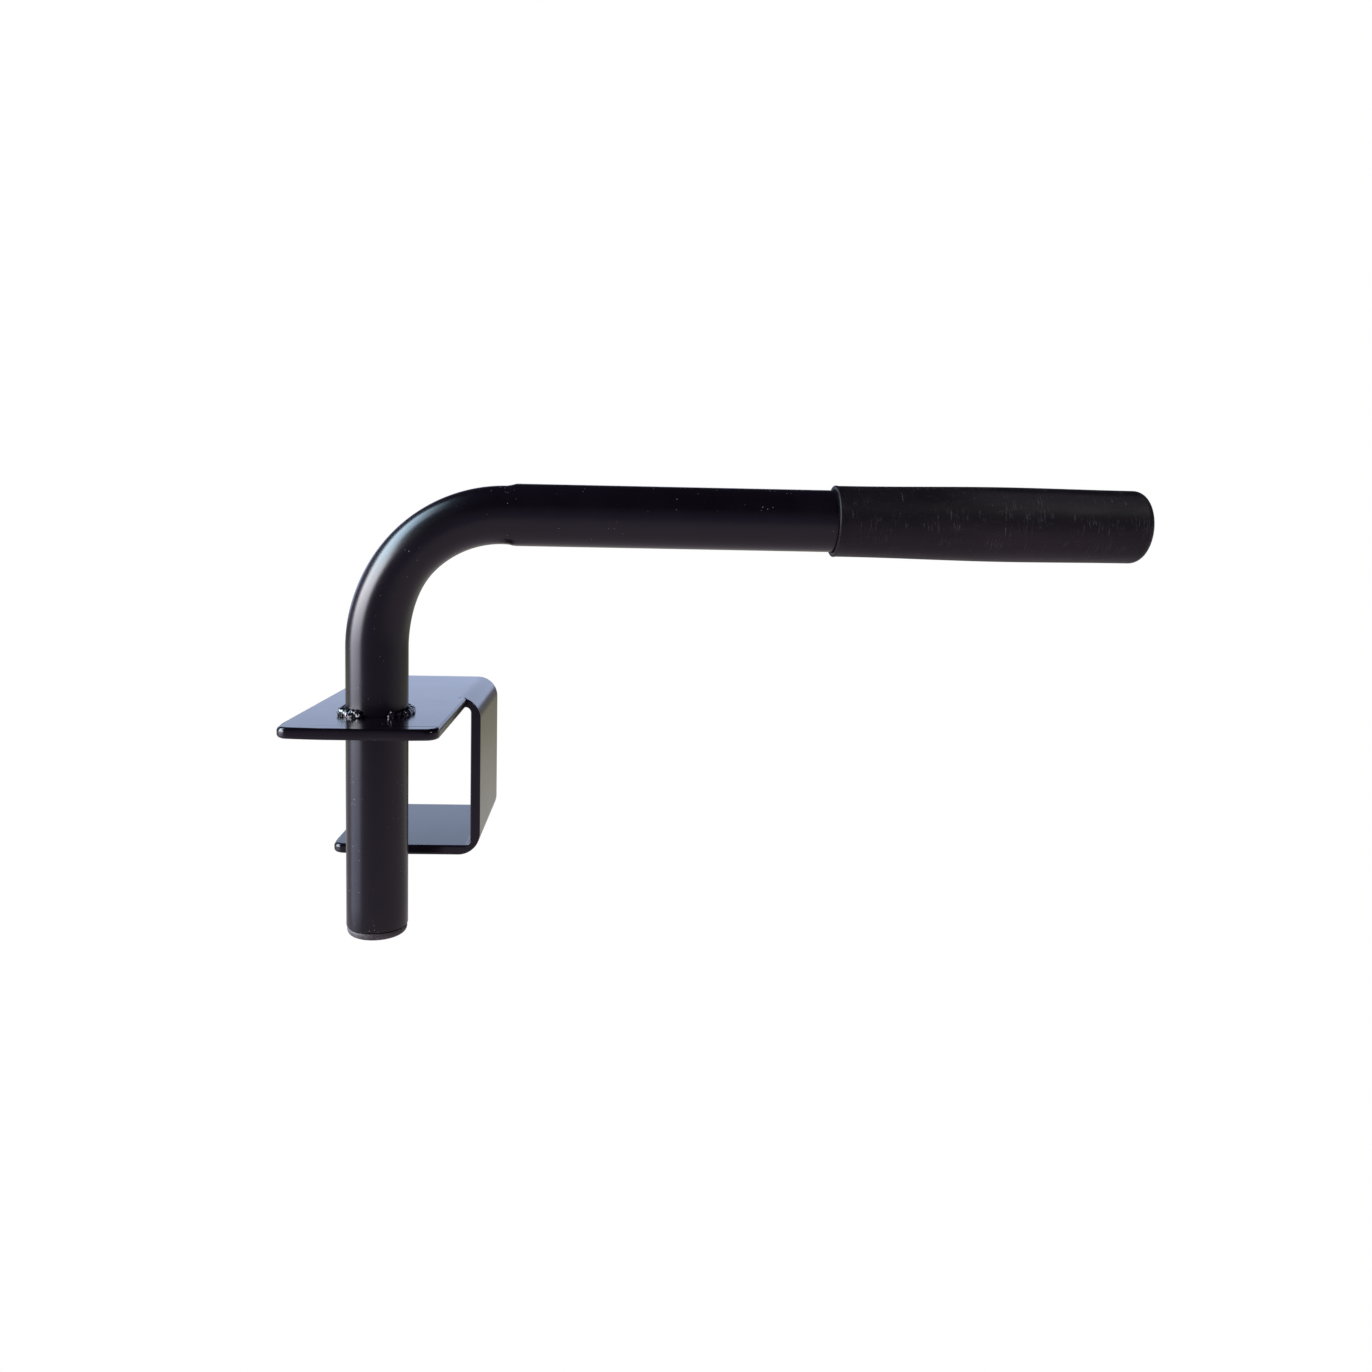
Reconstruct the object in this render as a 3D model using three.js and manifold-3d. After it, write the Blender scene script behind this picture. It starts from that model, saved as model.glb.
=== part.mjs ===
// Clamp-on pull up handle. Millimetres, +Z up, arm along +X.
// Origin: middle of the flat underside of the bracket's upper flange, where it rests on the beam.
import * as THREE from 'three';
import * as BufferGeometryUtils from 'three/addons/utils/BufferGeometryUtils.js';
import Module from 'manifold-3d';

const wasm = await Module();
wasm.setup();

// ---- fits ----
const looseGap = 0.3; // between neighbouring pieces
const capGap = 0.6; // under the tube end, above the cap's head

// ---- bent plate bracket ----
const plateThickness = 6;
const bendInsideRadius = 7.5;
const pocketWidth = 84.5; // from the flanges' free edge to the web's inner face
const pocketHeight = 86; // between the two flanges
const channelLength = 100; // along the beam
const tabLength = 110; // from the channel's front edge to the free end
const tabWidth = 82;
const plateCornerRadius = 7;
const reliefWidth = 2; // slot that frees the flat tab from the bend
const legSetback = 50; // tab's free end to the leg's axis

// ---- handle tube ----
const tubeDiameter = 33.7;
const tubeWall = 3.2;
const bendRadius = 73; // at the tube's centre line
const armHeight = 109.5; // arm axis above the tab's top face
const legDrop = 118.5; // leg end below the tab's top face
const armReach = 413.5; // leg axis to the arm's open end

// ---- rubber grip ----
const gripDepth = 166; // open end to the inside of the closed end
const gripWallAtStart = 2.35;
const gripWallAtBelly = 3.3;
const gripWallAtEnd = 2.8;
const gripEndWall = 4.7;
const gripEdgeRadius = 5.5;
const gripLipHeight = 0.3;
const gripLipLength = 2.4;

// ---- plastic cap in the leg's end ----
const capHeadHeight = 4.2;
const capHeadInset = 0.35;
const capEdgeRadius = 2.4;
const capStemLength = 22;
const capStemWall = 2;
const capRibCount = 4;
const capRibHeight = 1.6;

// ---- weld ----
const weldLeg = 5.4;
const leftWeldFrom = 18; // degrees round the tube, from the front towards the left
const leftWeldTo = 158;
const rightWeldFrom = 25; // degrees round the tube, from the front towards the right
const rightWeldTo = 158;

// ---- derived places ----
const tubeRadius = tubeDiameter / 2;
const boreRadius = tubeRadius - tubeWall;
const bendOutsideRadius = bendInsideRadius + plateThickness;
const seatWidth = pocketWidth - bendInsideRadius;
const freeEdgeX = -seatWidth / 2;
const webInnerX = freeEdgeX + pocketWidth;
const webOuterX = webInnerX + plateThickness;
const channelFrontY = -channelLength / 2;
const channelBackY = channelLength / 2;
const tabFrontY = channelFrontY - tabLength;
const legX = freeEdgeX + tabWidth / 2;
const legY = tabFrontY + legSetback;
const tabTopZ = plateThickness;
const lowerInnerZ = -pocketHeight;
const lowerOuterZ = -pocketHeight - plateThickness;
const armZ = tabTopZ + armHeight;
const legEndZ = tabTopZ - legDrop;
const gripStart = armReach + looseGap - gripDepth; // leg axis to the grip's open end

function toManifold(geometry) {
  const plain = geometry.index ? geometry.toNonIndexed() : geometry.clone();
  plain.deleteAttribute('normal');
  plain.deleteAttribute('uv');
  const merged = BufferGeometryUtils.mergeVertices(plain, 1e-4);
  const vertProperties = new Float32Array(merged.attributes.position.array);
  const index = merged.index.array;
  const triVerts = [];
  for (let i = 0; i < index.length; i += 3) {
    const a = index[i];
    const b = index[i + 1];
    const c = index[i + 2];
    if (a !== b && b !== c && c !== a) {
      triVerts.push(a, b, c);
    }
  }
  const mesh = new wasm.Mesh({
    numProp: 3,
    vertProperties,
    triVerts: new Uint32Array(triVerts),
  });
  mesh.merge();
  return new wasm.Manifold(mesh);
}

function toGeometry(solid) {
  const mesh = solid.getMesh();
  const geometry = new THREE.BufferGeometry();
  geometry.setAttribute('position', new THREE.BufferAttribute(new Float32Array(mesh.vertProperties), 3));
  geometry.setIndex(new THREE.BufferAttribute(new Uint32Array(mesh.triVerts), 1));
  geometry.computeVertexNormals();
  return geometry;
}

function prism(shape, height, curveSegments) {
  return new THREE.ExtrudeGeometry(shape, {
    depth: height,
    bevelEnabled: false,
    steps: 1,
    curveSegments,
  });
}

function rectangle(x0, y0, x1, y1) {
  const shape = new THREE.Shape();
  shape.moveTo(x0, y0);
  shape.lineTo(x1, y0);
  shape.lineTo(x1, y1);
  shape.lineTo(x0, y1);
  shape.closePath();
  return shape;
}

// ---- bracket plate ----
function channelProfile() {
  const rOut = bendOutsideRadius;
  const rIn = bendInsideRadius;
  const shape = new THREE.Shape();
  shape.moveTo(freeEdgeX, tabTopZ);
  shape.lineTo(freeEdgeX, 0);
  shape.lineTo(webInnerX - rIn, 0);
  shape.absarc(webInnerX - rIn, -rIn, rIn, Math.PI / 2, 0, true);
  shape.lineTo(webInnerX, lowerInnerZ + rIn);
  shape.absarc(webInnerX - rIn, lowerInnerZ + rIn, rIn, 0, -Math.PI / 2, true);
  shape.lineTo(freeEdgeX, lowerInnerZ);
  shape.lineTo(freeEdgeX, lowerOuterZ);
  shape.lineTo(webOuterX - rOut, lowerOuterZ);
  shape.absarc(webOuterX - rOut, lowerOuterZ + rOut, rOut, -Math.PI / 2, 0, false);
  shape.lineTo(webOuterX, tabTopZ - rOut);
  shape.absarc(webOuterX - rOut, tabTopZ - rOut, rOut, 0, Math.PI / 2, false);
  shape.closePath();
  return shape;
}

function channelSolid() {
  const geometry = prism(channelProfile(), channelLength, 12);
  geometry.rotateX(Math.PI / 2);
  geometry.translate(0, channelBackY, 0);
  return toManifold(geometry);
}

function flangeTrim(frontRounded) {
  const r = plateCornerRadius;
  const far = webOuterX + 10;
  const front = channelFrontY;
  const shape = new THREE.Shape();
  shape.moveTo(far, front);
  shape.lineTo(far, channelBackY);
  shape.lineTo(freeEdgeX + r, channelBackY);
  shape.absarc(freeEdgeX + r, channelBackY - r, r, Math.PI / 2, Math.PI, false);
  if (frontRounded) {
    shape.lineTo(freeEdgeX, front + r);
    shape.absarc(freeEdgeX + r, front + r, r, Math.PI, Math.PI * 1.5, false);
  } else {
    shape.lineTo(freeEdgeX, front);
  }
  shape.closePath();
  return shape;
}

function tabShape() {
  const r = plateCornerRadius;
  const rightX = freeEdgeX + tabWidth;
  const backY = channelFrontY + channelLength / 4;
  const neckX = webOuterX - bendOutsideRadius;
  const shape = new THREE.Shape();
  shape.moveTo(freeEdgeX, backY);
  shape.lineTo(freeEdgeX, tabFrontY + r);
  shape.absarc(freeEdgeX + r, tabFrontY + r, r, Math.PI, Math.PI * 1.5, false);
  shape.lineTo(rightX - r, tabFrontY);
  shape.absarc(rightX - r, tabFrontY + r, r, -Math.PI / 2, 0, false);
  shape.lineTo(rightX, channelFrontY - reliefWidth);
  shape.lineTo(neckX, channelFrontY - reliefWidth);
  shape.lineTo(neckX, backY);
  shape.closePath();
  const hole = new THREE.Path();
  hole.absarc(legX, legY, tubeRadius + looseGap, 0, Math.PI * 2, true);
  shape.holes.push(hole);
  return shape;
}

function bracketGeometry() {
  const middleZ = -pocketHeight / 2;
  const upper = prism(flangeTrim(false), pocketHeight, 10);
  upper.translate(0, 0, middleZ);
  const lower = prism(flangeTrim(true), pocketHeight, 10);
  lower.translate(0, 0, middleZ - pocketHeight);
  const trim = toManifold(upper).add(toManifold(lower));
  const tab = toManifold(prism(tabShape(), plateThickness, 32));
  return toGeometry(channelSolid().intersect(trim).add(tab));
}

// ---- handle tube: leg, one quarter bend, arm ----
const bendSteps = 28;

class HandleLine extends THREE.Curve {
  getPoint(t, target = new THREE.Vector3()) {
    const s = t * (bendSteps + 2);
    const bendFootZ = armZ - bendRadius;
    if (s <= 1) {
      return target.set(legX, legY, legEndZ + (bendFootZ - legEndZ) * s);
    }
    if (s <= bendSteps + 1) {
      const angle = ((s - 1) / bendSteps) * (Math.PI / 2);
      const x = legX + bendRadius * (1 - Math.cos(angle));
      const z = bendFootZ + bendRadius * Math.sin(angle);
      return target.set(x, legY, z);
    }
    const bendEndX = legX + bendRadius;
    const endX = legX + armReach;
    return target.set(bendEndX + (endX - bendEndX) * (s - bendSteps - 1), legY, armZ);
  }

  getUtoTmapping(u) {
    return u;
  }

  getTangent(t, target = new THREE.Vector3()) {
    const s = t * (bendSteps + 2);
    const turn = Math.min(Math.max((s - 1) / bendSteps, 0), 1) * (Math.PI / 2);
    return target.set(Math.sin(turn), 0, Math.cos(turn));
  }
}

function tubeGeometry() {
  const ring = new THREE.Shape();
  ring.absarc(0, 0, tubeRadius, 0, Math.PI * 2, false);
  const bore = new THREE.Path();
  bore.absarc(0, 0, boreRadius, 0, Math.PI * 2, true);
  ring.holes.push(bore);
  const geometry = new THREE.ExtrudeGeometry(ring, {
    steps: bendSteps + 2,
    curveSegments: 24,
    bevelEnabled: false,
    extrudePath: new HandleLine(),
  });
  return toGeometry(toManifold(geometry));
}

// ---- turned pieces ----
function turned(profile, segments) {
  const points = profile.map((p) => new THREE.Vector2(p[0], p[1]));
  return new THREE.LatheGeometry(points, segments);
}

function arcPoints(cx, cy, r, fromAngle, toAngle, count) {
  const points = [];
  for (let i = 0; i <= count; i += 1) {
    const a = fromAngle + ((toAngle - fromAngle) * i) / count;
    points.push([cx + r * Math.cos(a), cy + r * Math.sin(a)]);
  }
  return points;
}

// profile: [radius, distance along the arm from the grip's open end]
function gripGeometry() {
  const innerRadius = tubeRadius + looseGap;
  const length = gripDepth + gripEndWall;
  const bellyAt = length * 0.56;
  const startRadius = innerRadius + gripWallAtStart;
  const bellyRadius = innerRadius + gripWallAtBelly;
  const endRadius = innerRadius + gripWallAtEnd;
  const profile = [];
  profile.push([0, gripDepth]);
  profile.push([innerRadius, gripDepth]);
  profile.push([innerRadius, 0]);
  profile.push([startRadius - 0.6, 0]);
  profile.push([startRadius + gripLipHeight - 0.3, 0.5]);
  profile.push([startRadius + gripLipHeight, gripLipLength / 2]);
  profile.push([startRadius, gripLipLength]);
  const beforeBelly = 8;
  for (let i = 1; i <= beforeBelly; i += 1) {
    const k = i / beforeBelly;
    const ease = k * k * (3 - 2 * k);
    const y = gripLipLength + (bellyAt - gripLipLength) * k;
    profile.push([startRadius + (bellyRadius - startRadius) * ease, y]);
  }
  const roundAt = length - gripEdgeRadius;
  const afterBelly = 6;
  for (let i = 1; i <= afterBelly; i += 1) {
    const k = i / afterBelly;
    const ease = k * k * (3 - 2 * k);
    profile.push([bellyRadius + (endRadius - bellyRadius) * ease, bellyAt + (roundAt - bellyAt) * k]);
  }
  const cornerX = endRadius - gripEdgeRadius;
  profile.push(...arcPoints(cornerX, roundAt, gripEdgeRadius, 0, Math.PI / 2, 8).slice(1));
  profile.push([0, length]);
  const geometry = turned(profile, 64);
  geometry.rotateZ(-Math.PI / 2);
  geometry.translate(legX + gripStart, legY, armZ);
  return toGeometry(toManifold(geometry));
}

// profile: [radius, height above the cap's lowest face]
function capGeometry() {
  const headRadius = tubeRadius - capHeadInset;
  const stemTop = capHeadHeight + capGap + capStemLength;
  const ribRadius = boreRadius - looseGap;
  const stemRadius = ribRadius - 1;
  const hollowRadius = stemRadius - capStemWall;
  const hollowFloor = capHeadHeight;
  const profile = [];
  profile.push([0, 0]);
  const corner = arcPoints(headRadius - capEdgeRadius, capEdgeRadius, capEdgeRadius, -Math.PI / 2, 0, 6);
  profile.push(...corner);
  profile.push([headRadius, capHeadHeight]);
  profile.push([stemRadius, capHeadHeight]);
  const ribPitch = capStemLength / (capRibCount + 0.5);
  for (let i = 0; i < capRibCount; i += 1) {
    const y = capHeadHeight + capGap + ribPitch * (i + 0.5);
    profile.push([stemRadius, y]);
    profile.push([ribRadius, y + capRibHeight * 0.35]);
    profile.push([ribRadius, y + capRibHeight * 0.65]);
    profile.push([stemRadius, y + capRibHeight]);
  }
  profile.push([stemRadius, stemTop]);
  profile.push([hollowRadius, stemTop]);
  profile.push([hollowRadius, hollowFloor]);
  profile.push([0, hollowFloor]);
  const geometry = turned(profile, 56);
  geometry.rotateX(Math.PI / 2);
  geometry.translate(legX, legY, legEndZ - capGap - capHeadHeight);
  return toGeometry(toManifold(geometry));
}

// ---- fillet weld round part of the leg ----
function weldShape() {
  const r0 = tubeRadius + looseGap;
  const z0 = tabTopZ + looseGap;
  const shape = new THREE.Shape();
  shape.moveTo(r0, z0);
  shape.lineTo(r0 + weldLeg, z0);
  shape.quadraticCurveTo(r0 + weldLeg * 0.62, z0 + weldLeg * 0.62, r0, z0 + weldLeg);
  shape.closePath();
  return shape;
}

function weldGeometry(fromDegrees, toDegrees, side) {
  const outline = weldShape().getPoints(5);
  const pitch = 2.2; // degrees between the bead's ripples
  const count = Math.round((toDegrees - fromDegrees) / pitch);
  const positions = [];
  const index = [];
  const ring = outline.length - 1;
  const r0 = tubeRadius + looseGap;
  const z0 = tabTopZ + looseGap;
  for (let i = 0; i <= count; i += 1) {
    const k = i / count;
    const a = THREE.MathUtils.degToRad(fromDegrees + (toDegrees - fromDegrees) * k);
    const rounding = Math.sqrt(Math.max(0, 1 - Math.pow(Math.abs(2 * k - 1), 12)));
    const size = 0.35 + 0.65 * rounding - (i % 2) * 0.05;
    for (let j = 0; j < ring; j += 1) {
      const r = r0 + (outline[j].x - r0) * size;
      const z = z0 + (outline[j].y - z0) * size;
      positions.push(legX + side * r * Math.sin(a), legY - r * Math.cos(a), z);
    }
  }
  for (let i = 0; i < count; i += 1) {
    for (let j = 0; j < ring; j += 1) {
      const a = i * ring + j;
      const b = i * ring + ((j + 1) % ring);
      const c = (i + 1) * ring + ((j + 1) % ring);
      const d = (i + 1) * ring + j;
      if (side > 0) {
        index.push(a, c, b, a, d, c);
      } else {
        index.push(a, b, c, a, c, d);
      }
    }
  }
  const last = count * ring;
  for (let j = 1; j < ring - 1; j += 1) {
    if (side > 0) {
      index.push(0, j, j + 1);
      index.push(last, last + j + 1, last + j);
    } else {
      index.push(0, j + 1, j);
      index.push(last, last + j, last + j + 1);
    }
  }
  const geometry = new THREE.BufferGeometry();
  geometry.setAttribute('position', new THREE.BufferAttribute(new Float32Array(positions), 3));
  geometry.setIndex(index);
  geometry.computeVertexNormals();
  return geometry;
}

function piece(name, geometry, color, roughness, metalness) {
  const material = new THREE.MeshStandardMaterial({ color, roughness, metalness });
  material.name = name;
  const mesh = new THREE.Mesh(geometry, material);
  mesh.name = name;
  return mesh;
}

const root = new THREE.Group();
root.name = 'pull_up_bar';
root.add(piece('bracket_plate', bracketGeometry(), 0x17171c, 0.32, 0.2));
root.add(piece('handle_tube', tubeGeometry(), 0x16141a, 0.3, 0.2));
root.add(piece('weld_bead_left', weldGeometry(leftWeldFrom, leftWeldTo, -1), 0x1c1c22, 0.3, 0.3));
root.add(piece('weld_bead_right', weldGeometry(rightWeldFrom, rightWeldTo, 1), 0x1c1c22, 0.3, 0.3));
root.add(piece('grip', gripGeometry(), 0x1d191c, 0.8, 0));
root.add(piece('leg_end_cap', capGeometry(), 0x3a3737, 0.6, 0));

export default root;
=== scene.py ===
import math

import bpy
import bmesh
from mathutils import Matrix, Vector, noise


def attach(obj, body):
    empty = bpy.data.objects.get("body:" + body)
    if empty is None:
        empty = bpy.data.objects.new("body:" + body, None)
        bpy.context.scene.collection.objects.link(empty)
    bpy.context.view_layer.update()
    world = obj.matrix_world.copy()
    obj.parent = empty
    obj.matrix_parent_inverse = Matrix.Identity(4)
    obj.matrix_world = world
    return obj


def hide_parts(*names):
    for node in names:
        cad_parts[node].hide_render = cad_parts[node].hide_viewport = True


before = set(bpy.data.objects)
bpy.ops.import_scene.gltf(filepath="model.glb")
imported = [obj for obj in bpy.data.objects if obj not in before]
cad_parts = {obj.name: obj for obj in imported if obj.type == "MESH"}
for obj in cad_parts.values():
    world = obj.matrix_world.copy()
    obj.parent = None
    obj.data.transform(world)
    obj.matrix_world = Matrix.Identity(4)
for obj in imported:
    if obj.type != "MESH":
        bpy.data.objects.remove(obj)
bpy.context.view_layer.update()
print("frame loaded")

mm = 0.001

# where the handle's parts lie in the frame, in millimetres
handle = {
    "freeEdgeX": -38.5,
    "flatEndX": 38.5,
    "legX": 2.5,
    "legY": -110.0,
    "armZ": 115.5,
    "legEndZ": -112.5,
    "tubeRadius": 16.85,
    "tubeWall": 3.2,
    "bendRadius": 73.0,
    "armReach": 413.5,
    "plateThickness": 6.0,
}


# one node output, so that sums on it read as sums
class Sock:
    def __init__(self, tree, out):
        self.tree = tree
        self.out = out

    @classmethod
    def node(cls, tree, kind, settings=None, sockets=None, output=0):
        made = tree.nodes.new(kind)
        for key, value in (settings or {}).items():
            if key == "stops":
                ramp = made.color_ramp
                while len(ramp.elements) < len(value):
                    ramp.elements.new(0.5)
                for stop, (place, colour) in zip(ramp.elements, value):
                    stop.position = place
                    stop.color = colour
            else:
                setattr(made, key, value)
        for key, value in (sockets or {}).items():
            if isinstance(value, Sock):
                tree.links.new(value.out, made.inputs[key])
            else:
                made.inputs[key].default_value = value
        return cls(tree, made.outputs[output])

    def calc(self, operation, *values):
        return Sock.node(
            self.tree,
            "ShaderNodeMath",
            {"operation": operation},
            dict(enumerate(values)),
        )

    def __add__(self, other):
        return self.calc("ADD", self, other)

    __radd__ = __add__

    def __mul__(self, other):
        return self.calc("MULTIPLY", self, other)

    __rmul__ = __mul__

    def __sub__(self, other):
        return self.calc("SUBTRACT", self, other)

    def __rsub__(self, other):
        return self.calc("SUBTRACT", other, self)

    def between(self, low, high):
        return Sock.node(
            self.tree,
            "ShaderNodeMapRange",
            {"interpolation_type": "SMOOTHSTEP"},
            {"Value": self, "From Min": low, "From Max": high},
        )


# a material's node tree with its shader, and short names for the nodes used most
class Finish:
    def __init__(self, name, settings):
        self.material = bpy.data.materials.new(name)
        self.material.use_nodes = True
        self.tree = self.material.node_tree
        self.shader = self.tree.nodes["Principled BSDF"]
        for key, value in settings.items():
            self.shader.inputs[key].default_value = value
        self.place = Sock.node(self.tree, "ShaderNodeTexCoord", output=3)

    def node(self, kind, settings=None, sockets=None, output=0):
        return Sock.node(self.tree, kind, settings, sockets, output)

    def noise(self, size, detail=2.0, roughness=0.5, place=None, stretch=None):
        spot = place or self.place
        if stretch:
            spot = self.node("ShaderNodeMapping", sockets={"Vector": spot, "Scale": stretch})
        sockets = {"Vector": spot, "Scale": 1 / (size * mm), "Detail": detail, "Roughness": roughness}
        return self.node("ShaderNodeTexNoise", sockets=sockets)

    def cells(self, size, place=None, randomness=1.0):
        sockets = {"Vector": place or self.place, "Scale": 1 / (size * mm), "Randomness": randomness}
        return self.node("ShaderNodeTexVoronoi", sockets=sockets)

    def mix(self, mask, first, second):
        sockets = {"Factor": mask, "A": first, "B": second}
        made = self.tree.nodes.new("ShaderNodeMix")
        made.data_type = "RGBA"
        for key, value in sockets.items():
            target = [s for s in made.inputs if s.name == key and s.type in ("RGBA", "VALUE")]
            target = [s for s in target if (s.type == "RGBA") == (key != "Factor")][0]
            if isinstance(value, Sock):
                self.tree.links.new(value.out, target)
            else:
                target.default_value = value
        out = [s for s in made.outputs if s.type == "RGBA"][0]
        return Sock(self.tree, out)

    def set(self, key, value):
        self.tree.links.new(value.out, self.shader.inputs[key])

    def bump(self, height, distance, strength=1.0):
        sockets = {"Height": height, "Distance": distance * mm, "Strength": strength}
        self.set("Normal", self.node("ShaderNodeBump", sockets=sockets))


# ---- modelling helpers ----
def at(x, y, z):
    return Vector((x, y, z)) * mm


def active():
    return bpy.context.view_layer.objects.active


def editMode(on):
    bpy.ops.object.mode_set(mode="EDIT" if on else "OBJECT")


def onlySelect(obj):
    bpy.ops.object.select_all(action="DESELECT")
    obj.select_set(True)
    bpy.context.view_layer.objects.active = obj


def pick(kind, test):
    # in edit mode: selects the vertices, edges or faces for which the test holds
    obj = active()
    mesh = bmesh.from_edit_mesh(obj.data)
    bpy.ops.mesh.select_mode(type={"verts": "VERT", "edges": "EDGE", "faces": "FACE"}[kind])
    bpy.ops.mesh.select_all(action="DESELECT")
    mesh = bmesh.from_edit_mesh(obj.data)
    for part in getattr(mesh, kind):
        if test(part):
            part.select_set(True)
    mesh.select_flush_mode()
    bmesh.update_edit_mesh(obj.data)


def extrudeBy(x, y, z):
    bpy.ops.mesh.extrude_region_move(TRANSFORM_OT_translate={"value": at(x, y, z)})


def startVertex(name, place):
    bpy.ops.object.select_all(action="DESELECT")
    bpy.ops.mesh.primitive_plane_add(size=mm, location=place)
    active().name = name
    editMode(True)
    bpy.ops.mesh.select_all(action="SELECT")
    bpy.ops.mesh.merge(type="CENTER")
    return active()


def applyModifier(obj, kind, settings):
    onlySelect(obj)
    modifier = obj.modifiers.new(kind.lower(), kind)
    for key, value in settings.items():
        setattr(modifier, key, value)
    bpy.ops.object.modifier_apply(modifier=modifier.name)


def settle(obj, smoothAngle):
    # place goes into the mesh, faces turn outwards, and shading is smooth up to the angle
    onlySelect(obj)
    bpy.ops.object.transform_apply(location=True, rotation=True, scale=True)
    editMode(True)
    bpy.ops.mesh.select_all(action="SELECT")
    bpy.ops.mesh.remove_doubles(threshold=0.004 * mm)
    bpy.ops.mesh.normals_make_consistent(inside=False)
    editMode(False)
    bpy.ops.object.shade_smooth_by_angle(angle=math.radians(smoothAngle))


def turned(name, profile, foot, axis, outward, steps):
    # profile: (distance along the axis, radius) in millimetres
    first = profile[0]
    startVertex(name, foot + (axis * first[0] + outward * first[1]) * mm)
    for here, there in zip(profile, profile[1:]):
        move = axis * (there[0] - here[0]) + outward * (there[1] - here[1])
        extrudeBy(*move)
    bpy.ops.mesh.select_all(action="SELECT")
    bpy.ops.mesh.spin(steps=steps, angle=2 * math.pi, center=foot, axis=axis)
    bpy.ops.mesh.select_all(action="SELECT")
    bpy.ops.mesh.remove_doubles(threshold=0.004 * mm)
    editMode(False)
    return active()


def arc(cx, cy, radius, start, end, count):
    turns = [math.radians(start + (end - start) * i / count) for i in range(count + 1)]
    return [(cx + radius * math.cos(t), cy + radius * math.sin(t)) for t in turns]


def ease(value):
    value = min(max(value, 0.0), 1.0)
    return value * value * (3 - 2 * value)


def finishPiece(obj, finish, node):
    obj.data.materials.clear()
    obj.data.materials.append(finish.material)
    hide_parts(node)
    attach(obj, "root")


# ---- finishes ----
def makeCoat(name, look):
    coat = Finish(name, {"Specular IOR Level": look["gloss"], "IOR": 1.5})
    cloud = coat.noise(look["cloudSize"], 4, 0.6)
    fine = coat.noise(look["peelSize"], 3, 0.55)
    if "facetSize" in look:
        fine = fine + coat.cells(look["facetSize"]) * look["facetHeight"]
    dust = coat.cells(look["dustSpacing"])
    dustSpot = 1 - dust.between(0.0, look["dustSize"])
    rare = coat.noise(look["dustSpacing"] * 4.2, 1).between(look["dustRare"], look["dustRare"] + 0.04)
    specks = dustSpot * rare
    base = coat.mix(cloud.between(0.3, 0.75), look["dark"], look["light"])
    coat.set("Base Color", coat.mix(specks, base, look["dustColour"]))
    coat.set("Roughness", look["rough"] + (cloud - 0.5) * look["roughSpread"] + specks * 0.3)
    coat.bump(fine + cloud * 0.6 + specks * 1.5, look["peelHeight"])
    return coat


plateLook = {
    "gloss": 0.5,
    "cloudSize": 26.0,
    "peelSize": 2.6,
    "peelHeight": 0.006,
    "dustSpacing": 3.4,
    "dustSize": 0.13,
    "dustRare": 0.58,
    "dark": (0.0026, 0.0015, 0.0034, 1),
    "light": (0.0040, 0.0026, 0.0052, 1),
    "dustColour": (0.22, 0.22, 0.25, 1),
    "rough": 0.17,
    "roughSpread": 0.05,
}
tubeLook = dict(plateLook, rough=0.23, dustSpacing=2.7, dustSize=0.15, dustRare=0.55)
weldLook = dict(
    plateLook,
    gloss=0.9,
    rough=0.07,
    peelSize=1.3,
    peelHeight=0.12,
    dustSpacing=9.0,
    facetSize=1.7,
    facetHeight=3.0,
)


def makeRubber(look):
    rubber = Finish("gripRubber", {"Specular IOR Level": look["gloss"]})
    split = rubber.node("ShaderNodeSeparateXYZ", sockets={0: rubber.place})
    along = split
    across = Sock(rubber.tree, split.out.node.outputs[1]) - handle["legY"] * mm
    up = Sock(rubber.tree, split.out.node.outputs[2]) - handle["armZ"] * mm
    angle = rubber.node("ShaderNodeMath", {"operation": "ARCTAN2"}, {0: up, 1: across})
    wrapped = rubber.node("ShaderNodeCombineXYZ", sockets={0: along, 1: angle * 0.02, 2: 0.0})
    scratch = rubber.noise(0.55, 2, 0.5, wrapped, (1.6, 0.05, 1.0)).between(0.60, 0.70)
    nick = rubber.noise(0.6, 2, 0.5, None, (0.08, 1.5, 1.5)).between(0.66, 0.76)
    patch = rubber.noise(11.0, 3, 0.65).between(0.44, 0.6)
    smear = rubber.noise(26.0, 4, 0.6, None, (0.35, 1.7, 1.7)).between(0.38, 0.7)
    # painted highlight: a lighter band on the grip's upper front side stands in for the window's sheen
    paintedHighlightStreak = angle.between(2.02, 2.3) * (1 - angle.between(2.45, 2.8)) * along.between(0.299, 0.344)
    # painted light: the grip is made lighter towards its underside, as if lit from below
    low = up.between(0.006, -0.016)
    smearAndPaintedLight = smear * 0.45 + low * 0.75 + paintedHighlightStreak * 0.8
    tone = smearAndPaintedLight.calc("MINIMUM", smearAndPaintedLight, 1.0)
    grain = rubber.noise(0.45, 2, 0.6)
    fleck = 1 - rubber.cells(1.1).between(0.0, 0.2)
    marksAndPaintedSheen = scratch * patch + nick * 0.4 + fleck * patch * 0.6
    # painted sheen: lighter speckle at the grip's closed end stands in for a grazing reflection
    marksAndPaintedSheen = marksAndPaintedSheen + rubber.noise(0.8, 2, 0.6).between(0.5, 0.68) * along.between(0.4135, 0.4205)
    # the grip's tone: random smears together with the painted highlight band and the painted lighter
    # underside
    base = rubber.mix(tone, look["dark"], look["light"])
    rubber.set("Base Color", rubber.mix(marksAndPaintedSheen * 0.4, base, look["scratch"]))
    rubber.set("Roughness", look["rough"] - smear * 0.1 - marksAndPaintedSheen * 0.08)
    rubber.bump(grain * 0.45 - marksAndPaintedSheen * 0.6 + smear * 0.4, look["depth"])
    return rubber


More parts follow.
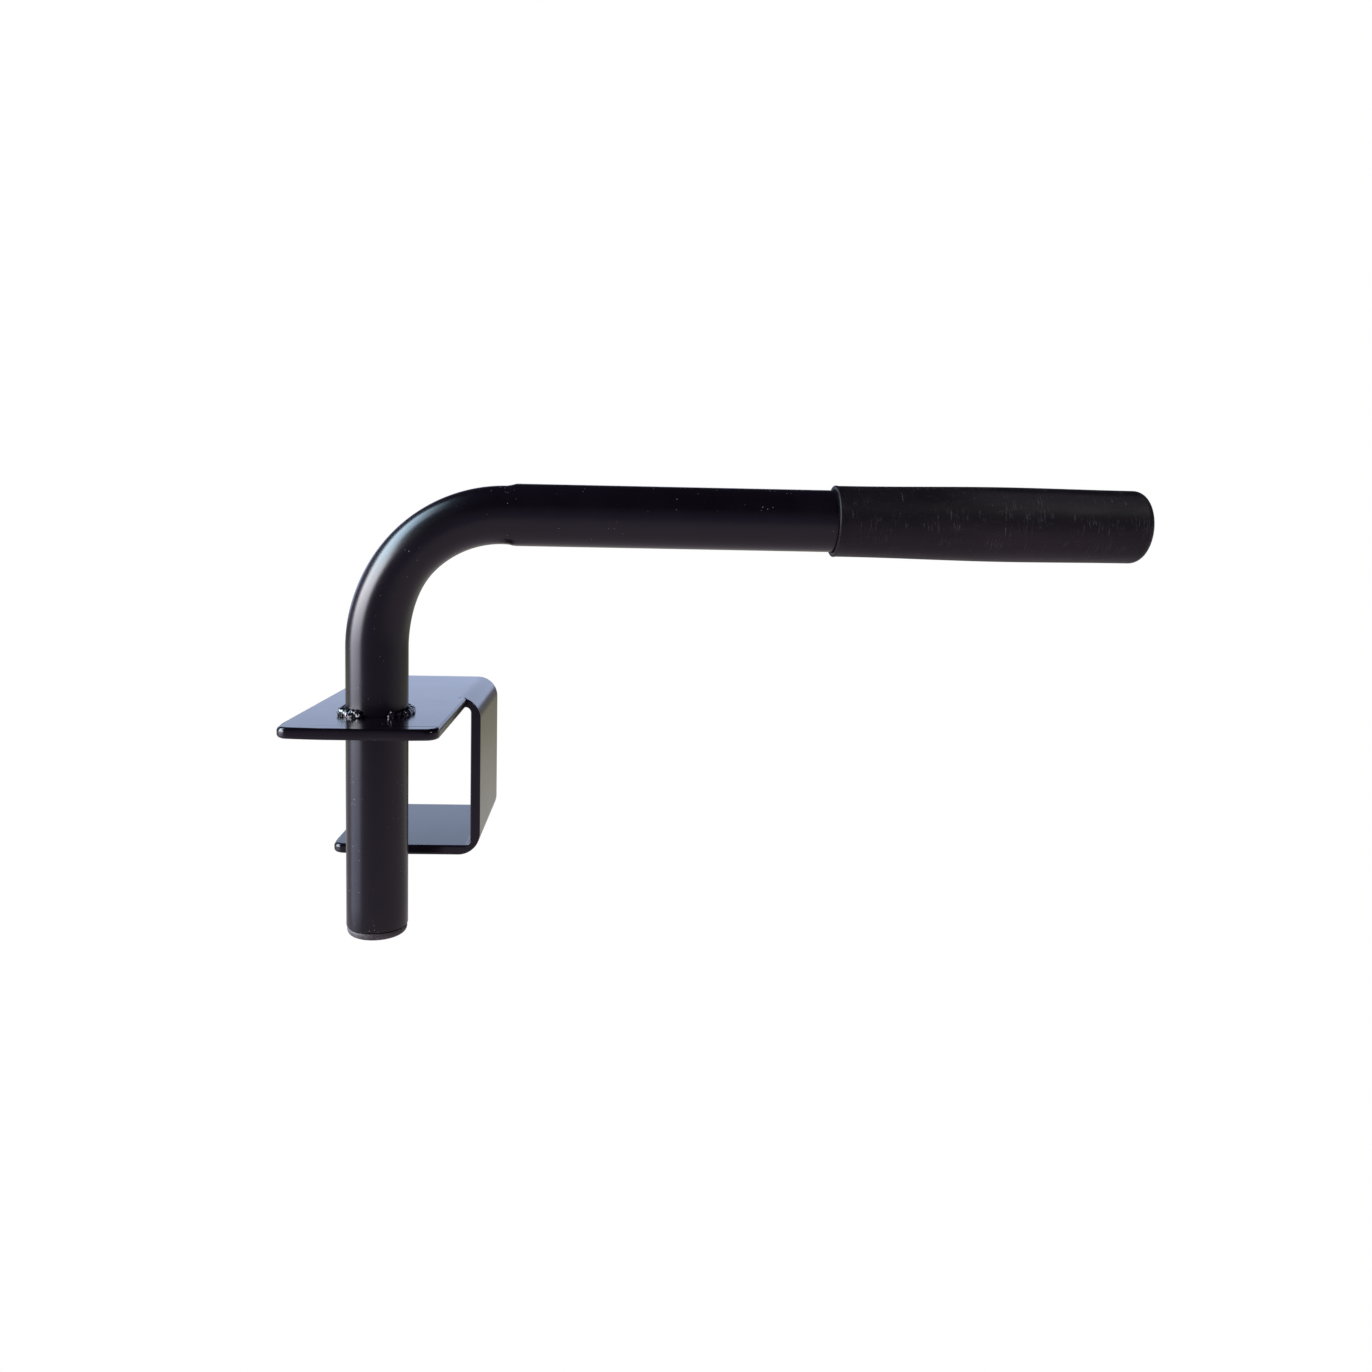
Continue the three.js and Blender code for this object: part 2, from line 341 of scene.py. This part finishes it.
rubberLook = {
    "gloss": 0.25,
    "dark": (0.0025, 0.0014, 0.0026, 1),
    "light": (0.0165, 0.0125, 0.0140, 1),
    # the colour of the scratches, nicks and flecks, and of the painted sheen at the grip's end
    "scratch": (0.11, 0.105, 0.105, 1),
    "rough": 0.5,
    "depth": 0.08,
}


def makePlastic(look):
    plastic = Finish("capPlastic", {"Specular IOR Level": look["gloss"]})
    grain = plastic.noise(0.7, 4, 0.7)
    cloud = plastic.noise(8.0, 3, 0.6)
    base = plastic.mix(cloud.between(0.3, 0.7), look["dark"], look["light"])
    speck = plastic.noise(0.9, 2, 0.5).between(0.6, 0.75)
    plastic.set("Base Color", plastic.mix(speck * 0.6, base, look["speck"]))
    plastic.set("Roughness", look["rough"] + (grain - 0.5) * 0.2)
    plastic.bump(grain, look["depth"])
    return plastic


plasticLook = {
    "gloss": 0.4,
    "dark": (0.06, 0.053, 0.053, 1),
    "light": (0.115, 0.104, 0.104, 1),
    "speck": (0.30, 0.285, 0.28, 1),
    "rough": 0.6,
    "depth": 0.12,
}

plateCoat = makeCoat("plateCoat", plateLook)
tubeCoat = makeCoat("tubeCoat", tubeLook)
weldCoat = makeCoat("weldCoat", weldLook)
gripRubber = makeRubber(rubberLook)
capPlastic = makePlastic(plasticLook)
print("finishes made")

# ---- handle tube ----
tubeShape = {
    "sides": 80,
    "legRings": 12,
    "bendSteps": 48,
    "armRings": 10,
    "innerFlat": 3.0,  # how far the bend's inner wall is pushed out at mid bend
    "outerFlat": 1.3,  # how far the outer wall sinks near the bend's two ends
    "widen": 0.5,  # how far the sides bulge at mid bend
    "footTaper": 0.12,
    "rimRound": 0.7,
    "rimNear": 16.5,  # the outer rim is the edge near this radius
}


def bendDents(turn):
    # inner push, outer sink and side bulge at an angle of the bend, from 0 at the leg to 90 at the arm
    ends = min(ease(turn / 45), ease((91.5 - turn) / 3.0))
    middle = math.sin(math.radians(min(max(turn, 0), 90) * 2)) ** 0.8
    inner = ends * (0.45 + (tubeShape["innerFlat"] - 0.45) * middle)
    outer = ends * tubeShape["outerFlat"] * (1 - middle)
    return inner, outer, tubeShape["widen"] * middle * ends


def makeTube():
    h, s = handle, tubeShape
    bendFootZ = h["armZ"] - h["bendRadius"]
    bendCentre = at(h["legX"] + h["bendRadius"], h["legY"], bendFootZ)
    bpy.ops.object.select_all(action="DESELECT")
    foot = at(h["legX"], h["legY"], h["legEndZ"])
    bpy.ops.mesh.primitive_circle_add(vertices=s["sides"], radius=h["tubeRadius"] * mm, location=foot)
    tube = active()
    tube.name = "handleTubeSkin"
    editMode(True)
    bpy.ops.mesh.select_all(action="SELECT")
    for _ in range(s["legRings"]):
        extrudeBy(0, 0, (bendFootZ - h["legEndZ"]) / s["legRings"])
    bpy.ops.mesh.spin(steps=s["bendSteps"], angle=-math.pi / 2, center=bendCentre, axis=(0, 1, 0))
    armLength = h["armReach"] - h["bendRadius"]
    extrudeBy(2.2, 0, 0)
    for _ in range(s["armRings"]):
        extrudeBy((armLength - 2.2) / s["armRings"], 0, 0)
    bpy.ops.mesh.select_all(action="SELECT")
    bpy.ops.mesh.normals_make_consistent(inside=False)
    editMode(False)
    # the bender's marks: flattened walls through the bend, a slight swage at the foot
    onlySelect(tube)
    bpy.ops.object.transform_apply(location=True, rotation=True, scale=True)
    for v in tube.data.vertices:
        p = v.co / mm - Vector((h["legX"], h["legY"], 0))
        spoke = Vector((p.x - h["bendRadius"], p.z - bendFootZ))
        turn = math.degrees(math.atan2(spoke.y, -spoke.x))
        if p.z < bendFootZ - 0.01 and p.x < h["bendRadius"] / 2:
            taper = s["footTaper"] * ease((-p.z - 10) / 100) / h["tubeRadius"]
            p = Vector((p.x * (1 - taper), p.y * (1 - taper), p.z))
        elif p.x < h["bendRadius"] + 3:
            if p.x > h["bendRadius"] - 0.01:
                turn = 90 + (p.x - h["bendRadius"]) / h["bendRadius"] * 57.3
            inner, outer, wide = bendDents(turn)
            lean = (spoke.length - h["bendRadius"]) / h["tubeRadius"]
            if p.x > h["bendRadius"]:
                lean = (p.z - h["armZ"]) / h["tubeRadius"]
            push = inner * max(-lean, 0) ** 1.5 - outer * max(lean, 0) ** 1.5
            if p.x > h["bendRadius"] - 0.01:
                p.z += push
            else:
                spoke *= (spoke.length + push) / spoke.length
                p.x = spoke.x + h["bendRadius"]
                p.z = spoke.y + bendFootZ
            p.y *= 1 + wide * (1 - lean * lean) / h["tubeRadius"]
        v.co = (p + Vector((h["legX"], h["legY"], 0))) * mm
    applyModifier(tube, "SOLIDIFY", {"thickness": h["tubeWall"] * mm, "offset": -1, "use_even_offset": True})
    onlySelect(tube)
    editMode(True)

    def rimEdge(e):
        atFoot = all(v.co.z < (h["legEndZ"] + 0.3) * mm for v in e.verts)
        fromAxis = sum((v.co - foot).to_2d().length for v in e.verts) / 2
        return atFoot and len(e.link_faces) == 2 and abs(fromAxis - s["rimNear"] * mm) < 0.5 * mm

    pick("edges", rimEdge)
    bpy.ops.mesh.bevel(offset=s["rimRound"] * mm, segments=3, affect="EDGES")
    editMode(False)
    settle(tube, 40)
    return tube


tubeSkin = makeTube()
finishPiece(tubeSkin, tubeCoat, "handle_tube")
print("tube made", len(tubeSkin.data.polygons))

# ---- bracket plate ----
plateShape = {
    "bendMidRadius": 10.5,
    "bendSteps": 14,
    "webDrop": 71.0,
    "channelHalf": 50.0,
    "relief": 0.9,
    "tabWidth": 82.0,
    "tabFrontY": -160.0,
    "cornerRadius": 7.0,
    "arris": 0.8,
    "cornerArris": 2.5,
    "innerRadius": 3.5,
    "slotArris": 0.12,
    "holeRadius": 17.15,
}


def makePlate():
    h, s = handle, plateShape
    midZ = h["plateThickness"] / 2
    half = s["channelHalf"]
    flatWidth = h["flatEndX"] - h["freeEdgeX"]
    bpy.ops.object.select_all(action="DESELECT")
    bpy.ops.mesh.primitive_plane_add(size=1, location=at(h["freeEdgeX"] + flatWidth / 2, 0, midZ))
    plate = active()
    plate.name = "bracketPlateSkin"
    plate.scale = at(flatWidth, 2 * half, 1)
    bpy.ops.object.transform_apply(location=True, rotation=True, scale=True)
    editMode(True)
    # the two bends, the web and the lower flange
    endX = h["flatEndX"] * mm
    pick("edges", lambda e: all(v.co.x > endX - 0.1 * mm for v in e.verts))
    centre = at(h["flatEndX"], 0, midZ - s["bendMidRadius"])
    bpy.ops.mesh.spin(steps=s["bendSteps"], angle=-math.pi / 2, center=centre, axis=(0, 1, 0))
    extrudeBy(0, 0, -s["webDrop"])
    centre = at(h["flatEndX"], 0, midZ - s["bendMidRadius"] - s["webDrop"])
    bpy.ops.mesh.spin(steps=s["bendSteps"], angle=-math.pi / 2, center=centre, axis=(0, 1, 0))
    extrudeBy(-flatWidth, 0, 0)
    # the neck beside the relief slot, then the tab
    frontY = -half * mm

    def topFrontVertex(v):
        return v.co.y < frontY + 0.1 * mm and v.co.z > 0 and v.co.x < endX + 0.1 * mm

    pick("edges", lambda e: all(topFrontVertex(v) for v in e.verts))
    extrudeBy(0, -s["relief"], 0)
    extrudeBy(0, s["tabFrontY"] + half + s["relief"], 0)
    pick("edges", lambda e: all(v.co.y < frontY - 0.5 * mm and v.co.x > endX - 0.1 * mm for v in e.verts))
    extrudeBy(s["tabWidth"] - flatWidth, 0, 0)
    pick("verts", lambda v: abs(v.co.x - endX) < 0.1 * mm and v.co.y < s["tabFrontY"] * mm + 0.1 * mm)
    bpy.ops.mesh.dissolve_verts()
    # rounded corners in plan
    def corner(v):
        x, y, z = v.co / mm
        left = x < h["freeEdgeX"] + 0.1
        right = x > h["freeEdgeX"] + s["tabWidth"] - 0.1 and z > 0 and y < s["tabFrontY"] + 0.1
        ends = y < s["tabFrontY"] + 0.1 or y > half - 0.1 or (z < 0 and y < -half + 0.1)
        return (left and ends) or right

    pick("verts", corner)
    bpy.ops.mesh.bevel(offset=s["cornerRadius"] * mm, segments=8, affect="VERTICES", profile=0.5)
    editMode(False)
    wall = {"thickness": h["plateThickness"] * mm, "offset": 0, "use_even_offset": True}
    applyModifier(plate, "SOLIDIFY", wall)
    # the inside of each bend is tighter than its middle
    inside = s["bendMidRadius"] - h["plateThickness"] / 2
    webInner = h["flatEndX"] + inside
    for faceZ, side in ((0.0, 1), (-s["webDrop"] - 2 * inside, -1)):
        centre = Vector((h["flatEndX"], faceZ - side * inside))
        tight = Vector((webInner - s["innerRadius"], faceZ - side * s["innerRadius"]))
        for v in plate.data.vertices:
            spoke = Vector((v.co.x, v.co.z)) / mm - centre
            inChannel = abs(v.co.y) < (half + 0.01) * mm
            if inChannel and min(spoke.x, spoke.y * side) > -0.01 and abs(spoke.length - inside) < 0.05:
                place = tight + spoke.normalized() * s["innerRadius"]
                v.co.x, v.co.z = place * mm
    # the tube's hole
    bpy.ops.object.select_all(action="DESELECT")
    bpy.ops.mesh.primitive_cylinder_add(
        vertices=64,
        radius=s["holeRadius"] * mm,
        depth=30 * mm,
        location=at(h["legX"], h["legY"], midZ),
    )
    cutter = active()
    applyModifier(plate, "BOOLEAN", {"operation": "DIFFERENCE", "object": cutter, "solver": "EXACT"})
    bpy.data.objects.remove(cutter)
    # every edge is rounded, those in the relief slot only just
    onlySelect(plate)
    editMode(True)

    def slotEdge(e):
        middle = (e.verts[0].co + e.verts[1].co) / 2 / mm
        inSlot = -half - s["relief"] - 0.05 < middle.y < -half + 0.05 and h["flatEndX"] - 0.05 < middle.x
        return inSlot and middle.x < h["freeEdgeX"] + s["tabWidth"] + 0.05 and middle.z > -1.2

    def sharp(e):
        return len(e.link_faces) == 2 and e.calc_face_angle(0) > math.radians(40)

    def cornerEdge(e):
        run = (e.verts[0].co - e.verts[1].co) / mm
        middle = (e.verts[0].co + e.verts[1].co) / 2 / mm
        fromHole = math.hypot(middle.x - h["legX"], middle.y - h["legY"])
        return abs(run.x) > 0.1 and abs(run.y) > 0.1 and fromHole > s["holeRadius"] + 2

    weights = bmesh.from_edit_mesh(plate.data)
    layer = weights.edges.layers.float.new("bevel_weight_edge")
    for e in weights.edges:
        if sharp(e):
            width = s["cornerArris"] if cornerEdge(e) else s["arris"]
            e[layer] = (s["slotArris"] if slotEdge(e) else width) / s["cornerArris"]
    bmesh.update_edit_mesh(plate.data)
    editMode(False)
    rounding = {
        "width": s["cornerArris"] * mm,
        "segments": 5,
        "limit_method": "WEIGHT",
        "use_clamp_overlap": False,
    }
    applyModifier(plate, "BEVEL", rounding)
    settle(plate, 30)
    applyModifier(plate, "WEIGHTED_NORMAL", {"keep_sharp": True, "weight": 80})
    return plate


plateSkin = makePlate()
finishPiece(plateSkin, plateCoat, "bracket_plate")
print("plate made", len(plateSkin.data.polygons))

# ---- weld beads ----
weldShape = {
    "voxel": 0.45,
    "puddles": 13,
    "long": 3.9,
    "standOff": 1.3,  # from the tube's wall to the line of the puddles
    "spread": 2.5,
    "rise": 3.1,
    "crease": 1.0,
    "facets": 0.055,
}


def makeWeld(name, side, first, last):
    h, s = handle, weldShape
    parts = []
    topZ = h["plateThickness"]
    for i in range(s["puddles"]):
        k = i / (s["puddles"] - 1)
        wobble = noise.noise(Vector((i * 1.7, side * 3.1, 0.4)))
        turn = math.radians(first + (last - first) * k + wobble * 2)
        size = 1 + 0.35 * noise.noise(Vector((i * 2.3, 7.7, side * 1.3)))
        reach = h["tubeRadius"] + s["standOff"] + wobble * 0.7
        out = Vector((side * math.sin(turn), -math.cos(turn), 0))
        place = at(h["legX"], h["legY"], topZ + 0.5) + out * reach * mm
        bpy.ops.object.select_all(action="DESELECT")
        bpy.ops.mesh.primitive_ico_sphere_add(subdivisions=2, radius=mm, location=place)
        puddle = active()
        puddle.scale = (s["long"] * size, s["spread"] * size, s["rise"] * size)
        facing = math.atan2(out.y, out.x) + math.pi / 2 + 0.3 * side
        puddle.rotation_euler = (0.6 * wobble, 0.3 * side, facing)
        parts.append(puddle)
    bpy.ops.object.select_all(action="DESELECT")
    for part in parts:
        part.select_set(True)
    bpy.context.view_layer.objects.active = parts[0]
    bpy.ops.object.join()
    weld = active()
    weld.name = name
    bpy.ops.object.transform_apply(location=True, rotation=True, scale=True)
    applyModifier(weld, "REMESH", {"mode": "VOXEL", "voxel_size": s["voxel"] * mm})
    for v in weld.data.vertices:
        crease = abs(noise.noise(v.co / (1.7 * mm))) - 0.22
        push = s["crease"] * crease + 0.18 * noise.noise(v.co / (0.8 * mm))
        v.co += v.normal * push * mm
    applyModifier(weld, "DECIMATE", {"ratio": s["facets"]})
    settle(weld, 14)
    return weld


weldLeft = makeWeld("weldBeadLeft", -1, 21, 150)
finishPiece(weldLeft, weldCoat, "weld_bead_left")
weldRight = makeWeld("weldBeadRight", 1, 38, 150)
finishPiece(weldRight, weldCoat, "weld_bead_right")
print("welds made", len(weldLeft.data.polygons), len(weldRight.data.polygons))

# ---- grip ----
gripShape = {
    "start": 247.8,
    "bore": 17.05,
    "mouth": 19.5,
    "belly": 20.45,
    "nearEnd": 19.95,
    "bellyAt": 0.56,
    "sleeve": 166.0,
    "length": 170.7,
    "edgeRound": 5.5,
    "steps": 112,
}


def makeGrip():
    h, s = handle, gripShape
    profile = [(s["sleeve"], 0.0), (s["sleeve"], s["bore"]), (1.6, s["bore"])]
    profile += arc(0.8, s["bore"] + 0.8, 0.8, 250, 180, 4)
    profile += arc(0.8, s["mouth"] - 0.8, 0.8, 180, 90, 6)
    profile += [(1.5, s["mouth"] - 0.04), (2.3, s["mouth"] - 0.22), (5.0, s["mouth"] - 0.2)]
    bellyAt = s["length"] * s["bellyAt"]
    for i in range(1, 13):
        k = i / 12
        profile.append((5 + (bellyAt - 5) * k, s["mouth"] - 0.2 + (s["belly"] - s["mouth"] + 0.2) * ease(k)))
    roundAt = s["length"] - s["edgeRound"]
    for i in range(1, 9):
        k = i / 8
        radius = s["belly"] + (s["nearEnd"] - s["belly"]) * ease(k)
        profile.append((bellyAt + (roundAt - bellyAt) * k, radius))
    corner = s["nearEnd"] - s["edgeRound"]
    profile += arc(roundAt, corner, s["edgeRound"], 90, 0, 10)[1:]
    for bulge, share in ((0.25, 0.6), (0.35, 0.3), (0.38, 0.0)):
        profile.append((s["length"] + bulge, corner * share))
    foot = at(h["legX"] + s["start"], h["legY"], h["armZ"])
    grip = turned("gripSleeve", profile, foot, Vector((1, 0, 0)), Vector((0, 0, 1)), s["steps"])
    settle(grip, 50)
    return grip


grip = makeGrip()
finishPiece(grip, gripRubber, "grip")
print("grip made", len(grip.data.polygons))

# ---- leg end cap ----
capShape = {
    "gap": 0.6,
    "head": 4.2,
    "headRadius": 16.3,
    "edgeRound": 3.0,
    "stem": 22.0,
    "stemRadius": 12.35,
    "ribRadius": 13.35,
    "hollowRadius": 10.4,
    "ribs": 4,
    "steps": 88,
}


def makeCap():
    h, s = handle, capShape
    profile = [(0.0, 0.0), (0.05, s["headRadius"] * 0.5)]
    corner = s["headRadius"] - s["edgeRound"]
    profile += arc(s["edgeRound"], corner, s["edgeRound"], 180, 90, 8)
    profile += [(s["head"] - 0.3, s["headRadius"]), (s["head"], s["headRadius"] - 0.3)]
    profile.append((s["head"], s["stemRadius"]))
    pitch = s["stem"] / (s["ribs"] + 0.5)
    for i in range(s["ribs"]):
        y = s["head"] + s["gap"] + pitch * (i + 0.5)
        profile += [(y, s["stemRadius"]), (y + 0.6, s["ribRadius"])]
        profile += [(y + 1.0, s["ribRadius"]), (y + 1.6, s["stemRadius"])]
    top = s["head"] + s["gap"] + s["stem"]
    profile += [(top - 0.6, s["stemRadius"]), (top, s["stemRadius"] - 0.6), (top, s["hollowRadius"])]
    profile += [(s["head"], s["hollowRadius"]), (s["head"], 0.0)]
    foot = at(h["legX"], h["legY"], h["legEndZ"] - s["gap"] - s["head"])
    cap = turned("legEndCap", profile, foot, Vector((0, 0, 1)), Vector((1, 0, 0)), s["steps"])
    settle(cap, 45)
    return cap


cap = makeCap()
finishPiece(cap, capPlastic, "leg_end_cap")
print("cap made", len(cap.data.polygons))

# ---- floor, light and camera ----
studio = {
    "floorZ": -420.0,
    "floorSize": 60000.0,
    "cameraPlace": (125.05, -670.82, 100.32),
    "cameraTurn": (85.3237, -1.1140, -1.6955),
    "lens": 26.883,
    "shift": (0.038, -0.0415),
    # the floor's glow from the near side to the far side, over ten metres from 4 m in front
    "floorTones": [
        (0.05, (0.21, 0.17, 0.27, 1)),
        (0.32, (0.48, 0.40, 0.51, 1)),
        (0.44, (0.49, 0.43, 0.49, 1)),
        (0.52, (0.56, 0.54, 0.50, 1)),
        (0.62, (0.36, 0.345, 0.27, 1)),
        (0.75, (0.24, 0.23, 0.19, 1)),
        (0.92, (0.19, 0.19, 0.19, 1)),
    ],
    # the room's glow by height, from the horizon to straight up
    "roomTones": [
        (0.0, (0.20, 0.16, 0.26, 1)),
        (0.35, (0.10, 0.085, 0.13, 1)),
        (0.55, (0.016, 0.013, 0.020, 1)),
    ],
    # the window's glow by height, over the same range
    "windowTones": [
        (0.0, (0.45, 0.44, 0.50, 1)),
        (0.28, (0.95, 0.93, 1.0, 1)),
        (0.50, (0.68, 0.86, 1.0, 1)),
        (0.66, (0.40, 0.55, 0.68, 1)),
        (0.86, (0.0, 0.0, 0.0, 1)),
    ],
    "windowGlow": 15.0,
    "windowFloorNear": (0.66, 0.76, 1.02, 1),
    "windowFloorFar": (1.0, 0.98, 1.12, 1),
    "windowNear": -3.0,  # the window's two sides, in degrees from straight left
    "windowFar": 33.0,
    "windowLean": 26.0,  # how far its upper part leans to the back
    "windowSoft": 11.0,
}
# name: place, aim, width, height, brightness, colour
softLights = {
    "rightLamp": ((1.7, -1.25, 1.5), (0.05, -0.1, 0.0), 0.2, 0.2, 50.0, (1.0, 1.0, 1.0)),
    "backGlow": ((0.3, 3.0, 0.55), (0.3, 0.0, 0.1), 7.5, 0.95, 1.0, (0.66, 0.84, 1.16)),
}


def softLight(name, place, aim, width, height, brightness, colour):
    data = bpy.data.lights.new(name, "AREA")
    data.shape = "RECTANGLE"
    data.size = width
    data.size_y = height
    data.energy = brightness * math.pi * width * height
    data.color = colour
    light = bpy.data.objects.new(name, data)
    bpy.context.scene.collection.objects.link(light)
    light.location = place
    light.rotation_euler = (Vector(aim) - Vector(place)).to_track_quat("-Z", "Y").to_euler()
    light.visible_camera = False


def throughWindow(x, y, rise=None):
    # 1 where a direction, or a floor place seen from the leg, lies within the window's two sides
    turn = x.calc("ARCTAN2", y * -1, x * -1)
    if rise:
        turn = turn + rise.between(0.3, 0.72) * math.radians(studio["windowLean"])
    soft = studio["windowSoft"]
    near = turn.between(math.radians(studio["windowNear"] - soft), math.radians(studio["windowNear"]))
    far = turn.between(math.radians(studio["windowFar"]), math.radians(studio["windowFar"] + soft))
    return near * (1 - far)


def makeFloor():
    bpy.ops.object.select_all(action="DESELECT")
    bpy.ops.mesh.primitive_plane_add(size=studio["floorSize"] * mm, location=at(0, 0, studio["floorZ"]))
    floor = active()
    floor.name = "paleFloor"
    pale = Finish("paleFloor", {})
    x = pale.node("ShaderNodeSeparateXYZ", sockets={0: pale.place})
    y = Sock(pale.tree, x.out.node.outputs[1])
    depth = y * 0.1 + 0.4
    tone = pale.node("ShaderNodeValToRGB", {"stops": studio["floorTones"]}, {0: depth})
    base = pale.node("ShaderNodeEmission", sockets={"Color": tone, "Strength": 1.0})
    # painted pool of window light: to rays other than the camera's, the floor glows brighter where the
    # window's light would fall
    left = x * -1
    reach = (left.between(0.25, 1.1) * 1.7 + left.between(1.4, 5.0) * 3.7) * throughWindow(x, y + 0.11)
    hue = pale.mix(left.between(1.2, 4.5), studio["windowFloorNear"], studio["windowFloorFar"])
    spill = pale.node("ShaderNodeEmission", sockets={"Color": hue, "Strength": reach})
    glow = pale.node("ShaderNodeAddShader", sockets={0: base, 1: spill})
    seen = pale.node("ShaderNodeLightPath")
    bright = pale.node("ShaderNodeEmission", sockets={"Color": (1, 1, 1, 1), "Strength": 1.0})
    both = pale.node("ShaderNodeMixShader", sockets={0: seen, 1: glow, 2: bright})
    pale.tree.links.new(both.out, pale.tree.nodes["Material Output"].inputs["Surface"])
    floor.data.materials.append(pale.material)


def makeRoom():
    world = bpy.data.worlds.new("studioRoom")
    bpy.context.scene.world = world
    world.use_nodes = True
    tree = world.node_tree
    way = Sock.node(tree, "ShaderNodeTexCoord", output=0)
    x = Sock.node(tree, "ShaderNodeSeparateXYZ", None, {0: way})
    y, rise = (Sock(tree, x.out.node.outputs[i]) for i in (1, 2))
    room = Sock.node(tree, "ShaderNodeValToRGB", {"stops": studio["roomTones"]}, {0: rise})
    window = Sock.node(tree, "ShaderNodeValToRGB", {"stops": studio["windowTones"]}, {0: rise})
    strength = throughWindow(x, y, rise) * studio["windowGlow"]
    base = Sock.node(tree, "ShaderNodeBackground", None, {"Color": room, "Strength": 1.0})
    pane = Sock.node(tree, "ShaderNodeBackground", None, {"Color": window, "Strength": strength})
    glow = Sock.node(tree, "ShaderNodeAddShader", None, {0: base, 1: pane})
    white = Sock.node(tree, "ShaderNodeBackground", None, {"Color": (1, 1, 1, 1), "Strength": 1.0})
    seen = Sock.node(tree, "ShaderNodeLightPath")
    both = Sock.node(tree, "ShaderNodeMixShader", None, {0: seen, 1: glow, 2: white})
    tree.links.new(both.out, tree.nodes["World Output"].inputs["Surface"])


def makeStage():
    makeFloor()
    makeRoom()
    for name, facts in softLights.items():
        softLight(name, *facts)
    data = bpy.data.cameras.new("handleCamera")
    data.lens = studio["lens"]
    data.sensor_width = 36
    data.shift_x, data.shift_y = studio["shift"]
    data.clip_start = 0.01
    camera = bpy.data.objects.new("handleCamera", data)
    camera.location = at(*studio["cameraPlace"])
    camera.rotation_euler = [math.radians(a) for a in studio["cameraTurn"]]
    bpy.context.scene.collection.objects.link(camera)
    bpy.context.scene.camera = camera
    bpy.context.scene.view_settings.view_transform = "Standard"


makeStage()
print("stage set")
